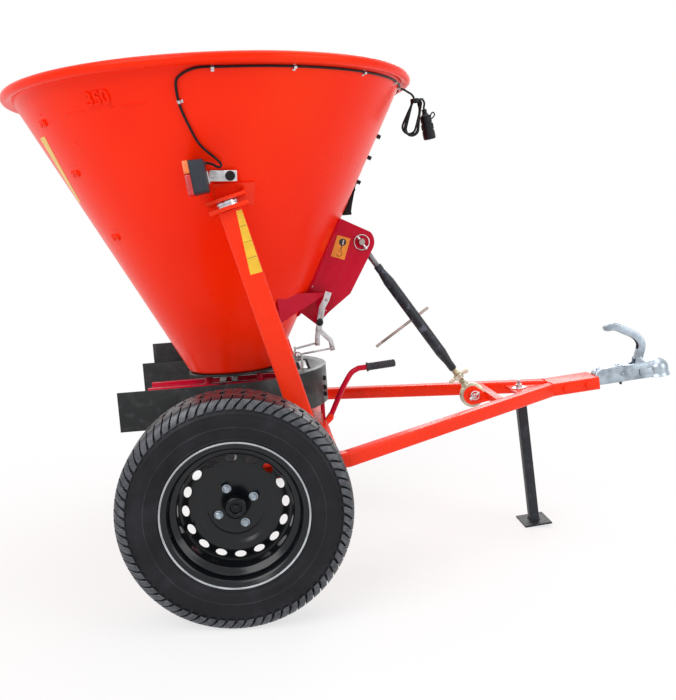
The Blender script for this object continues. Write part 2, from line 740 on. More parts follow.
def coupling():
    """Pressed ball coupling with its shank in the nose box, a hand lever and a latch."""
    w, bottom, top = COUPLING_HALF_WIDTH, COUPLING_BOTTOM, COUPLING_TOP
    head_rear = BALL_CENTRE - BALL_HEAD_RADIUS
    section = [(-w, bottom), (w, bottom), (w, top - 0.016), (w - 0.006, top - 0.004), (w - 0.013, top),
               (-w + 0.013, top), (-w + 0.006, top - 0.004), (-w, top - 0.016)]
    body = prism("coupling_body", section, COUPLING_BODY_START, head_rear + 0.012, "x", "zinc", CHASSIS)
    shank = box("coupling_shank", (SHANK_START, -SHANK_HALF_WIDTH, SHANK_BOTTOM),
                (COUPLING_BODY_START + 0.010, SHANK_HALF_WIDTH, SHANK_TOP), "zinc", CHASSIS)
    radius = BALL_HEAD_RADIUS
    dome = [(0, top + 0.004)]
    dome += [(radius * math.cos(math.radians(a)), top - 0.024 + 0.028 * math.sin(math.radians(a))) for a in (65, 40, 15)]
    dome += [(radius, bottom + 0.008), (radius + 0.004, bottom), (0, bottom)]
    head = turned("coupling_head", dome, (BALL_CENTRE, 0, 0), (0, 0, 1), 18, "zinc", CHASSIS)
    lip = prism("coupling_lip", [(BALL_CENTRE + 0.02, -0.012), (COUPLING_LIP, -0.009), (COUPLING_LIP, 0.009),
                                 (BALL_CENTRE + 0.02, 0.012)], bottom + 0.004, bottom + 0.009, "z", "zinc", CHASSIS)
    join(body, shank, head, lip)
    ball = BALL_SOCKET_RADIUS
    socket = [(0, bottom - 0.01), (ball, bottom - 0.01), (ball, bottom + 0.018)]
    socket += [(ball * math.cos(math.radians(a)), bottom + 0.018 + ball * math.sin(math.radians(a))) for a in (30, 60)]
    socket += [(0, bottom + 0.018 + ball)]
    well_end = LEVER_PIVOT[0] + 0.022
    wide = LATCH_HALF_WIDTH + 0.0004
    well = box("latch_well", (LEVER_PIVOT[0] - 0.030, -wide, bottom - 0.01), (well_end, wide, top + 0.02), "zinc", CHASSIS)
    window = box("latch_window", (well_end - 0.001, -wide, bottom - 0.01), (BALL_CENTRE - ball + 0.003, wide, top - 0.0035),
                 "zinc", CHASSIS)
    cut(body, turned("ball_socket", socket, (BALL_CENTRE, 0, 0), (0, 0, 1), 16, "zinc", CHASSIS), well, window)
    holes = bmesh.new()
    for place in COUPLING_BOLT_PLACES:
        add_rod(holes, (place, -0.04, TUBE_CENTRE), (place, 0.04, TUBE_CENTRE), COUPLING_BOLT_RADIUS + 2 * GAP, 10)
    cut(body, from_bmesh("shank_holes", holes, "zinc", CHASSIS))
    ears = bmesh.new()
    px, pz = LEVER_PIVOT
    for sign in (-1, 1):
        low, high = sorted((sign * 0.0137, sign * 0.0170))
        add_prism(ears, [(px - 0.014, top - 0.008), (px + 0.014, top - 0.008), (px + 0.008, pz + 0.008), (px - 0.008, pz + 0.008)],
                  low, high, "y")
    join(body, from_bmesh("lever_ears", ears, "zinc", CHASSIS))
    cut(body, rod("lever_pin_bore", (px, -0.04, pz), (px, 0.04, pz), LEVER_PIN_RADIUS + GAP, "zinc", CHASSIS, 12))
    coupling_lever()


def lever_path():
    """Middle line of the coupling lever in the chassis frame, as (u, w)."""
    px, pz = LEVER_PIVOT
    return [(px + u, pz + w) for u, w in (
        (0, -0.004), (0.0175, 0.0436), (0.0013, 0.0748), (-0.0715, 0.1213), (-0.1033, 0.1082),
    )]


def thick_line(path, half):
    """Outline of a strip that follows a path of (first, second) points, half wide to each side."""
    left, right = [], []
    for i, point in enumerate(path):
        before = Vector(path[max(0, i - 1)])
        after = Vector(path[min(len(path) - 1, i + 1)])
        along = (after - before).normalized()
        normal = Vector((-along.y, along.x))
        left.append(tuple(Vector(point) + normal * half))
        right.append(tuple(Vector(point) - normal * half))
    return left + right[::-1]


def coupling_lever():
    """Hand lever on its cross pin, and the latch that it pulls up behind the ball."""
    px, pz = LEVER_PIVOT
    pivot = (px, 0, pz)
    outline = thick_line(lever_path(), LEVER_HALF_WIDTH - 0.001)
    lever = prism("coupling_lever", outline, -LEVER_HALF_WIDTH, LEVER_HALF_WIDTH, "y", "zinc", CHASSIS, pivot)
    hollow = [(0.003, 0.021), (0.010, 0.040), (-0.006, 0.064), (-0.064, 0.103)]
    hollow = thick_line([(px + u, pz + w) for u, w in hollow], LEVER_HALF_WIDTH - 0.003)
    cut(lever, prism("lever_hollow", hollow, -LEVER_HALF_WIDTH + 0.003, LEVER_HALF_WIDTH - 0.003, "y", "zinc", CHASSIS))
    join(lever, rod("lever_pin", (px, -0.0185, pz), (px, 0.0185, pz), LEVER_PIN_RADIUS, "zinc", CHASSIS, 12))
    front = BALL_CENTRE - BALL_SOCKET_RADIUS - 0.002
    half = LATCH_HALF_WIDTH
    box("coupling_latch", (px - 0.010, -half, COUPLING_BOTTOM + 0.004), (front, half, COUPLING_TOP - 0.011),
        "zinc", CHASSIS, pivot)


# Support stand

def stand():
    """Gusset between the beams, a square leg with its foot plate, and the bolt that holds it."""
    half_cut = TUBE / 2 / beam_direction(1.0).x + GAP
    start, end = STAND_PLATE_START, STAND_PLATE_END
    plate_top = TUBE_TOP - 0.008
    outline = [(start, -(beam_centre(start) - half_cut)), (end, -(beam_centre(end) - half_cut)),
               (end, beam_centre(end) - half_cut), (start, beam_centre(start) - half_cut)]
    plate = prism("stand_plate", outline, plate_top - STAND_PLATE, plate_top, "z", "red_paint", CHASSIS)
    bore = STAND_BOLT_RADIUS + GAP
    cut(plate, rod("stand_plate_bore", (STAND_PLACE, 0, 0), (STAND_PLACE, 0, 0.1), bore, "red_paint", CHASSIS, 12))

    leg_top = plate_top - STAND_PLATE - GAP
    foot_rear = STAND_PLACE - FOOT_LENGTH / 2
    foot_bottom = -(AXLE_HEIGHT + foot_rear * math.sin(FRAME_PITCH)) / math.cos(FRAME_PITCH)
    half = STAND_LEG / 2
    leg = box("stand_leg", (STAND_PLACE - half, -half, foot_bottom + 0.001), (STAND_PLACE + half, half, leg_top),
              "grey_paint", CHASSIS)
    foot = box("stand_foot", (foot_rear, -FOOT_WIDTH / 2, foot_bottom),
               (foot_rear + FOOT_LENGTH, FOOT_WIDTH / 2, foot_bottom + FOOT_THICKNESS), "grey_paint", CHASSIS)
    join(leg, foot)
    depth = 0.030
    cut(leg, rod("stand_leg_bore", (STAND_PLACE, 0, leg_top - depth), (STAND_PLACE, 0, leg_top + 0.02),
                 bore, "grey_paint", CHASSIS, 12))
    seat = plate_top + GAP
    profile = [
        (0, leg_top - depth + 0.003), (STAND_BOLT_RADIUS, leg_top - depth + 0.003), (STAND_BOLT_RADIUS, seat),
        (STAND_WASHER_RADIUS, seat), (STAND_WASHER_RADIUS, seat + 0.003), (0.011, seat + 0.003),
        (0.011, seat + 0.012), (STAND_BOLT_RADIUS, seat + 0.012), (STAND_BOLT_RADIUS, seat + 0.028), (0, seat + 0.028),
    ]
    turned("stand_bolt", profile, (STAND_PLACE, 0, 0), (0, 0, 1), 12, "zinc", CHASSIS)


# Hopper

def hopper_space(name):
    """The hopper's outer cone with clearance, cut out of whatever leans on its wall."""
    low, high = HOPPER_BOTTOM + 0.03, 1.0
    off = GAP * math.hypot(1, HOPPER_SLOPE)
    profile = [(0, low), (wall_radius(low) + off, low), (wall_radius(high) + off, high), (0, high)]
    return turned(name, profile, (0, 0, 0), (0, 0, 1), HOPPER_SEGMENTS, "hopper_plastic", HOPPER)


def outlet_cutter(name):
    """Two outlets side by side and the shaft hole between them."""
    bm = bmesh.new()
    low, high = SPREADER_BAR_TOP, HOPPER_BOTTOM + 0.03
    for _, sign in SIDES:
        half, wide = OUTLET_LENGTH / 2, OUTLET_WIDTH / 2
        inner, outer = sorted((sign * (OUTLET_SIDE - wide), sign * (OUTLET_SIDE + wide)))
        add_prism(bm, [(-half, inner), (half, inner), (half, outer), (-half, outer)], low, high, "z")
    add_rod(bm, (0, 0, low), (0, 0, high), SHAFT_HOLE_RADIUS, 16)
    return from_bmesh(name, bm, "hopper_plastic", HOPPER)


def hopper():
    """Conical hopper with a rolled rim and a flat floor, and the steel plate under it."""
    lean_wall = HOPPER_WALL * math.hypot(1, HOPPER_SLOPE)
    roll_start = RIM_CENTRE_HEIGHT - 0.0085
    profile = [(0, HOPPER_BOTTOM), (HOPPER_BOTTOM_RADIUS, HOPPER_BOTTOM), (wall_radius(roll_start), roll_start)]
    profile += arc((RIM_ROLL_CENTRE, RIM_CENTRE_HEIGHT), RIM_ROLL_RADIUS, -110, 110, 4)
    floor = HOPPER_BOTTOM + HOPPER_WALL
    profile += [(wall_radius(RIM_CENTRE_HEIGHT) - lean_wall + 0.001, RIM_CENTRE_HEIGHT + 0.004),
                (wall_radius(floor) - lean_wall, floor), (0, floor)]
    bin_ = turned("hopper", profile, (0, 0, 0), (0, 0, 1), HOPPER_SEGMENTS, "hopper_plastic", HOPPER)
    cut(bin_, outlet_cutter("hopper_outlets"))

    top = BASE_PLATE_BOTTOM + BASE_PLATE
    disc = [(0, BASE_PLATE_BOTTOM), (BASE_PLATE_RADIUS, BASE_PLATE_BOTTOM), (BASE_PLATE_RADIUS, top), (0, top)]
    plate = turned("hopper_base_plate", disc, (0, 0, 0), (0, 0, 1), 20, "red_paint", HOPPER)
    cut(plate, outlet_cutter("base_plate_outlets"))


def shutters():
    """Two slides under the base plate, each with an arm, an upright lug and its pull rod."""
    top = BASE_PLATE_BOTTOM - GAP
    bottom = top - SHUTTER
    rear, front = -OUTLET_LENGTH / 2 - 0.004, OUTLET_LENGTH / 2 + 0.0025
    inner, outer = OUTLET_SIDE - OUTLET_WIDTH / 2 - 0.006, OUTLET_SIDE + OUTLET_WIDTH / 2 + 0.006
    arm_inner, arm_outer = 0.0690, 0.0785
    rod_a, rod_b = rod_sides()

    near_lug = 0.190
    near = [(rear, -outer), (front, -outer), (front, -arm_outer), (near_lug + 0.006, -arm_outer),
            (near_lug + 0.006, -arm_inner), (front, -arm_inner), (front, -inner), (rear, -inner)]
    shutter = prism("shutter_right", near, bottom, top, "z", "stainless", HOPPER)
    start = rod_start(PRONG_A, near_lug + 0.003, 0.189)
    lug = box("shutter_lug_right", (near_lug, -arm_outer, bottom), (near_lug + 0.006, -arm_inner - 0.0015, start[1] + 0.006),
              "stainless", HOPPER)
    join(shutter, lug, rod("pull_rod_right", (start[0], rod_a, start[1]), (PRONG_A[0] + 0.006, rod_a, PRONG_A[1] + 0.001),
                           DOSING_ROD_RADIUS, "stainless", HOPPER, 8))

    cross_rear, cross_front, far_lug = 0.2055, 0.2275, 0.2120
    far = [(rear, inner), (front, inner), (front, arm_inner), (cross_rear, arm_inner), (cross_rear, rod_b - 0.006),
           (cross_front, rod_b - 0.006), (cross_front, arm_outer), (front, arm_outer), (front, outer), (rear, outer)]
    shutter = prism("shutter_left", far, bottom, top, "z", "stainless", HOPPER)
    start = rod_start(PRONG_B, far_lug, 0.112)
    lug = box("shutter_lug_left", (far_lug - 0.003, rod_b - 0.006, bottom), (far_lug + 0.003, rod_b + 0.004, start[1]),
              "stainless", HOPPER)
    knob = turned("shutter_knob", [(0, -0.011), (0.008, -0.009), (0.0115, 0), (0.008, 0.009), (0, 0.011)],
                  (far_lug - 0.0115, rod_b - 0.006, start[1] - 0.002), (0, 0, 1), 10, "stainless", HOPPER)
    pull = rod("pull_rod_left", (start[0] - 0.004, rod_b, start[1] - 0.0005), (PRONG_B[0] + 0.006, rod_b, PRONG_B[1] + 0.0005),
               DOSING_ROD_RADIUS, "stainless", HOPPER, 8)
    join(shutter, lug, knob, pull)


def rod_sides():
    """Sideways places of the two pull rods, on either side of the dosing lever's plate."""
    off = DOSING_ROD_RADIUS + GAP
    return -(DOSING_PLATE_INNER - off), -(DOSING_PLATE_OUTER + off)


def rod_start(prong, place, slope):
    """Where a pull rod that rises forward at a slope to its prong stands at a place."""
    return place, prong[1] - (prong[0] - place) * slope


# Spreading gear

def spinner():
    """Upright shaft with its pinion, spreading disc with vanes, and agitator in the hopper."""
    half = GEAR_WIDTH / 2
    profile = [
        (0, SHAFT_BOTTOM), (SHAFT_RADIUS, SHAFT_BOTTOM), (SHAFT_RADIUS, CROWN_PITCH_RADIUS - half),
        (PINION_RADIUS, CROWN_PITCH_RADIUS - half), (PINION_RADIUS, CROWN_PITCH_RADIUS + half),
        (SHAFT_RADIUS, CROWN_PITCH_RADIUS + half), (SHAFT_RADIUS, SHAFT_TOP), (0, SHAFT_TOP),
    ]
    turned("spinner_shaft", profile, (0, 0, 0), (0, 0, 1), 12, "steel", HOPPER)

    bore = SHAFT_RADIUS + GAP
    low, high = SPINNER_HEIGHT, SPINNER_HEIGHT + SPINNER_PLATE
    profile = [(bore, low - 0.015), (0.030, low - 0.015), (0.030, low), (SPINNER_RADIUS, low), (SPINNER_RADIUS, high),
               (0.030, high), (0.030, high + 0.017), (bore, high + 0.017)]
    disc = turned("spinner_disc", profile, (0, 0, 0), (0, 0, 1), 24, "stainless", HOPPER)
    vanes = bmesh.new()
    for i in range(VANE_COUNT):
        angle = 2 * math.pi * i / VANE_COUNT + math.pi / 4
        out = Vector((math.cos(angle), math.sin(angle), 0))
        side = Vector((-out.y, out.x, 0))
        vane = rectangle(0.004, VANE_HEIGHT)
        middle = Vector((0, 0, low + SPINNER_PLATE / 2 + VANE_HEIGHT / 2))
        add_strut(vanes, vane, side, (0, 0, 1), middle + out * 0.060, middle + out * (SPINNER_RADIUS - 0.005))
    join(disc, from_bmesh("spinner_vanes", vanes, "stainless", HOPPER))

    top = AGITATOR_BOTTOM + 0.060
    profile = [(bore, AGITATOR_BOTTOM), (0.020, AGITATOR_BOTTOM), (0.020, AGITATOR_BOTTOM + 0.040), (0.008, top),
               (0, top), (0, SHAFT_TOP + GAP), (bore, SHAFT_TOP + GAP)]
    agitator = turned("agitator", profile, (0, 0, 0), (0, 0, 1), 12, "stainless", HOPPER)
    fingers = bmesh.new()
    add_rod(fingers, (0, 0, top - 0.020), (0.020, 0, AGITATOR_TOP), 0.005, 8)
    for i in range(3):
        angle = 2 * math.pi * i / 3
        out = Vector((math.cos(angle), math.sin(angle), 0))
        height = Vector((0, 0, AGITATOR_BOTTOM + 0.018))
        add_rod(fingers, height + out * 0.014, height + out * 0.105, 0.004, 6)
    join(agitator, from_bmesh("agitator_fingers", fingers, "stainless", HOPPER))


def gearbox():
    """Crown gear on the axle and the housing round it, braced to the front tube."""
    middle = Vector((0, 0, AXLE_HEIGHT))
    face = PINION_RADIUS + GEAR_CLEARANCE
    half = GEAR_WIDTH / 2
    inner, outer = CROWN_PITCH_RADIUS - half, CROWN_PITCH_RADIUS + half
    bore = AXLE_RADIUS + AXLE_CLEARANCE
    profile = [(bore, face + 0.003), (0.026, face + 0.003), (0.026, face + 0.006), (inner, face + 0.006), (inner, face),
               (outer, face), (outer, face + 0.014), (0.026, face + 0.014), (0.026, face + 0.018), (bore, face + 0.018)]
    turned("crown_gear", profile, middle, (0, 1, 0), 16, "steel", ROOT, middle)

    wall = GEARBOX_WALL
    low, high = -PINION_RADIUS - 0.004 - wall, face + 0.021 + wall
    drum = [(0, low), (GEARBOX_RADIUS, low), (GEARBOX_RADIUS, high), (0, high)]
    housing = turned("gearbox_housing", drum, (0, 0, 0), (0, 1, 0), 20, "cast_iron", HOPPER)
    turret = rod("gearbox_turret", (0, 0, GEARBOX_RADIUS - 0.012), (0, 0, 0.132), 0.022, "cast_iron", HOPPER, 14)
    arm = bmesh.new()
    start = Vector((GEARBOX_RADIUS - 0.010, 0, 0.028))
    tube_rear = CHASSIS_IN_HOPPER @ Vector((FRONT_TUBE_REAR - GAP, 0, TUBE_CENTRE))
    normal = CHASSIS_IN_HOPPER.to_3x3() @ Vector((1, 0, 0))
    add_strut(arm, rectangle(0.030, 0.024), (0, 1, 0), (0, 0, 1), start, tube_rear, None, normal)
    join(housing, turret, from_bmesh("gearbox_arm", arm, "cast_iron", HOPPER))
    room = GEARBOX_RADIUS - wall
    cavity = [(0, low + wall), (room, low + wall), (room, high - wall), (0, high - wall)]
    cut(housing, turned("gearbox_cavity", cavity, (0, 0, 0), (0, 1, 0), 20, "cast_iron", HOPPER))
    cut(housing, rod("gearbox_axle_bore", (0, low - 0.02, 0), (0, high + 0.02, 0), bore, "cast_iron", HOPPER, 16))
    cut(housing, rod("gearbox_shaft_bore", (0, 0, SHAFT_BOTTOM), (0, 0, 0.15), SHAFT_RADIUS + GAP, "cast_iron", HOPPER, 24))


# Guard, deflector and spreader frame

def guard_outline(radius, rear):
    """Plan of the guard at a radius: straight sides and a half round front."""
    points = [(rear, -radius)] + arc((0, 0), radius, -90, 90, GUARD_STEPS) + [(rear, radius)]
    return points


def guard():
    """Guard round the spreading disc, open to the rear and below, with a roof over its front."""
    outer = guard_outline(GUARD_RADIUS, GUARD_REAR)
    shell = prism("spread_guard", outer, GUARD_BOTTOM, GUARD_TOP, "z", "black_paint", HOPPER)
    roof = GUARD_TOP - GUARD_WALL
    inner = guard_outline(GUARD_RADIUS - GUARD_WALL, GUARD_REAR - 0.05)
    cut(shell, prism("guard_inside", inner, GUARD_BOTTOM - 0.01, roof, "z", "black_paint", HOPPER))
    width = GUARD_RADIUS - GUARD_WALL
    roof_cut = [(GUARD_REAR - 0.05, -width)] + arc((0, 0), width, -90, -49, 6)
    roof_cut += [(GUARD_ROOF_REAR, -0.125), (0.235, -0.125), (0.235, 0.085), (GUARD_ROOF_REAR, 0.085)]
    roof_cut += arc((0, 0), width, 49, 90, 6) + [(GUARD_REAR - 0.05, width)]
    cut(shell, prism("guard_roof_opening", roof_cut, roof - 0.01, GUARD_TOP + 0.01, "z", "black_paint", HOPPER))

    side = GUARD_RADIUS + GAP
    outline = [(-0.28, 0.315), (-0.28, 0.24), (-0.235, 0.24), (-0.27, 0.20), (-0.15, 0.20), (-0.15, 0.315)]
    prism("rear_deflector", outline, side, side + GUARD_WALL, "y", "black_paint", HOPPER)


def spreader_frame():
    """Welded bars under the hopper: they carry its base plate and the guard, on two legs."""
    bm = bmesh.new()
    low, high = SPREADER_BAR_BOTTOM, SPREADER_BAR_TOP
    inside = GUARD_RADIUS - GUARD_WALL - GAP
    facet = math.cos(math.pi / 2 / GUARD_STEPS)
    front = math.sqrt((inside * facet) ** 2 - SPREADER_BAR_OUTER ** 2) - GAP
    cross = box("spreader_frame", (-0.047, -inside, low), (-0.027, inside, high), "red_paint", HOPPER)
    pads = bmesh.new()
    pad_side = (SPREADER_BAR_INNER + SPREADER_BAR_OUTER) / 2
    leg_place = 0.2705
    leg_end = TUBE_TOP + GAP
    chassis_up = CHASSIS_IN_HOPPER.to_3x3() @ Vector((0, 0, 1))
    foot_height = (leg_end + leg_place * math.sin(FRAME_PITCH - HOPPER_LEAN)) / math.cos(FRAME_PITCH - HOPPER_LEAN)
    for _, sign in SIDES:
        inner, outer = sorted((sign * SPREADER_BAR_INNER, sign * SPREADER_BAR_OUTER))
        outline = [(SPREADER_REAR, inner), (front, inner), (front, outer), (SPREADER_REAR, outer)]
        add_prism(bm, outline, low, high, "z")
        for place in (-0.08, 0.08):
            add_rod(pads, (place, sign * pad_side, high - 0.005), (place, sign * pad_side, BASE_PLATE_BOTTOM - GAP), 0.010, 12)
        add_strut(pads, rectangle(0.006, 0.018), (1, 0, 0), (0, 1, 0), (leg_place, sign * pad_side, low + 0.005),
                  (leg_place, sign * pad_side, foot_height), None, chassis_up)
    join(cross, from_bmesh("spreader_bars", bm, "red_paint", HOPPER))
    join(cross, from_bmesh("spreader_pads", pads, "red_paint", HOPPER))


# Posts and hopper brackets

def post_ends(sign):
    """Foot and head of a post's middle line in the chassis frame."""
    head = WORLD_IN_CHASSIS @ Vector((0, sign * POST_HEAD_SPREAD, AXLE_HEIGHT + POST_HEAD_HEIGHT))
    foot = Vector((POST_FOOT, sign * RAIL_SPREAD, TUBE_TOP + GAP))
    return foot, head


def posts():
    """Sloping posts from the rails to the hopper's brackets, with a levelling nut on top."""
    for side, sign in SIDES:
        foot, head = post_ends(sign)
        along = (head - foot).normalized()
        across = Vector((0, 1, 0)) - along * along.y
        across.normalize()
        forward = across.cross(along)
        bm = bmesh.new()
        add_strut(bm, rectangle(POST_LENGTHWISE, POST_ACROSS, TUBE_CORNER), forward, across, foot, head, (0, 0, 1), None)
        post = from_bmesh(f"post_{side}", bm, "red_paint", CHASSIS)
        plate = bmesh.new()
        top = head + along * POST_FLANGE
        add_strut(plate, rectangle(POST_FLANGE_LENGTH, POST_FLANGE_WIDTH), forward, across, head - along * 0.002, top)
        nut = top + along * LEVELLING_NUT
        join(post, from_bmesh(f"post_flange_{side}", plate, "red_paint", CHASSIS),
             rod(f"levelling_nut_{side}", top - along * 0.002, nut, LEVELLING_NUT_RADIUS, "zinc", CHASSIS, 16))

        seat = nut + along * GAP
        bracket_plate = bmesh.new()
        inward = Vector((0, -sign, 0))
        shift = inward * 0.012
        add_strut(bracket_plate, rectangle(POST_FLANGE_LENGTH, POST_FLANGE_WIDTH + 0.030), forward, across,
                  seat + shift, seat + shift + along * POST_FLANGE, along, along)
        bracket = from_bmesh(f"hopper_bracket_{side}", bracket_plate, "red_paint", CHASSIS)
        web_low, web_high = POST_HEAD_HEIGHT + 0.010, POST_HEAD_HEIGHT + 0.068
        web = cone_patch(f"bracket_web_{side}", sign, 75, 90, web_low, web_high, WEB_THICKNESS)
        gussets = bmesh.new()
        place = CHASSIS_IN_HOPPER @ seat
        slope = CHASSIS_IN_HOPPER.to_3x3() @ forward
        for step in (-0.030, 0.045):
            x = place.x + step
            z = place.z + slope.z / slope.x * step + 0.002
            inner = wall_radius(z) - 0.02
            outline = [(sign * inner, z), (sign * (POST_HEAD_SPREAD + 0.030), z),
                       (sign * (wall_radius(web_high) + 0.004), web_high - 0.012), (sign * inner, web_high - 0.012)]
            add_prism(gussets, outline, x - 0.0025, x + 0.0025, "x")
        join(bracket, web, from_bmesh(f"bracket_gussets_{side}", gussets, "red_paint", HOPPER))
        cut(bracket, hopper_space(f"bracket_hopper_space_{side}"))


def cone_patch(name, sign, first, last, low, high, thickness):
    """A curved plate against the hopper's wall; angles in degrees from straight ahead."""
    bm = bmesh.new()
    step = 360 / HOPPER_SEGMENTS
    count = round((last - first) / step)
    rings = []
    for off in (-0.004, thickness + GAP):
        ring = []
        for i in range(count + 1):
            degrees = sign * (first + step * i)
            ring.append([bm.verts.new(hopper_point(degrees, height, off)) for height in (low, high)])
        rings.append(ring)
    near, far = rings
    for i in range(count):
        bm.faces.new((near[i][0], near[i + 1][0], near[i + 1][1], near[i][1]))
        bm.faces.new((far[i][0], far[i + 1][0], far[i + 1][1], far[i][1]))
        bm.faces.new((near[i][0], near[i + 1][0], far[i + 1][0], far[i][0]))
        bm.faces.new((near[i][1], near[i + 1][1], far[i + 1][1], far[i][1]))
    for i in (0, count):
        bm.faces.new((near[i][0], near[i][1], far[i][1], far[i][0]))
    return from_bmesh(name, bm, "red_paint", HOPPER)


# Top link

def top_link_bracket():
    """Two cheeks on the hopper's front wall, tied by a back plate and two side wings."""
    pin = upper_pin_place()
    px, pz = pin
    corner = arc((px - 0.004, pz), 0.045, 40, -25, 5)
    outline = [(0.345, 0.7036)] + corner
    outline += [(0.3784, 0.4626), (0.3063, 0.4085), (0.2682, 0.3726), (0.2234, 0.4122), (0.205, 0.400), (0.190, 0.420), (0.345, 0.690)]
    cheeks = bmesh.new()
    for _, sign in SIDES:
        low, high = sorted((sign * CHEEK_INNER, sign * CHEEK_OUTER))
        add_prism(cheeks, outline, low, high, "y")
    back = cone_patch("top_link_bracket", 1.0, -15, 15, 0.405, 0.69, WEB_THICKNESS)
    join(back, from_bmesh("bracket_cheeks", cheeks, "red_paint", HOPPER))
    for side, sign in SIDES:
        wing = bmesh.new()
        root = WORLD_IN_HOPPER @ Vector((0.2805, sign * 0.0445, 0.777))
        tip_high = WORLD_IN_HOPPER @ Vector((0.118, sign * 0.200, 0.786))
        tip_low = WORLD_IN_HOPPER @ Vector((0.130, sign * 0.190, 0.700))
        low_root = WORLD_IN_HOPPER @ Vector((0.235, sign * 0.0445, 0.752))
        normal = (tip_high - root).cross(tip_low - root).normalized() * 0.004
        corners = (root, tip_high, tip_low, low_root)
        first = [wing.verts.new(corner) for corner in corners]
        second = [wing.verts.new(corner + normal) for corner in corners]
        wing.faces.new((first[0], first[1], first[2]))
        wing.faces.new((first[0], first[2], first[3]))
        wing.faces.new((second[0], second[1], second[2]))
        wing.faces.new((second[0], second[2], second[3]))
        for i in range(4):
            j = (i + 1) % 4
            wing.faces.new((first[i], first[j], second[j], second[i]))
        join(back, from_bmesh(f"bracket_wing_{side}", wing, "red_paint", HOPPER))
    head = DOSING_PLATE_OUTER + GAP
    profile = [(0, CHEEK_OUTER - 0.004), (DOSING_PIN_RADIUS, CHEEK_OUTER - 0.004), (DOSING_PIN_RADIUS, head),
               (0.010, head), (0.010, head + 0.007), (0, head + 0.007)]
    stud = (DOSING_PIVOT[0], 0, DOSING_PIVOT[1])
    join(back, turned("dosing_stud", profile, stud, (0, -1, 0), 12, "zinc", HOPPER))
    cut(back, hopper_space("link_bracket_hopper_space"))
    bores = bmesh.new()
    add_rod(bores, (px, -0.08, pz), (px, 0.08, pz), LINK_PIN_RADIUS + GAP, 12)
    add_rod(bores, (0.297, -0.08, 0.418), (0.297, 0.08, 0.418), 0.005, 10)
    cut(back, from_bmesh("bracket_bores", bores, "red_paint", HOPPER))

    reach = 0.065
    profile = [(0, -reach), (LINK_PIN_RADIUS, -reach), (LINK_PIN_RADIUS, CHEEK_OUTER + GAP), (0.014, CHEEK_OUTER + GAP),
               (0.014, CHEEK_OUTER + 0.006), (0, CHEEK_OUTER + 0.006)]
    turned("top_link_pin", profile, (px, 0, pz), (0, 1, 0), 12, "zinc", HOPPER)


def upper_pin_place():
    """The top link's upper pin in the hopper frame, as (x, z)."""
    place = WORLD_IN_HOPPER @ Vector((TOP_LINK_UPPER[0], 0, TOP_LINK_UPPER[1]))
    return place.x, place.z


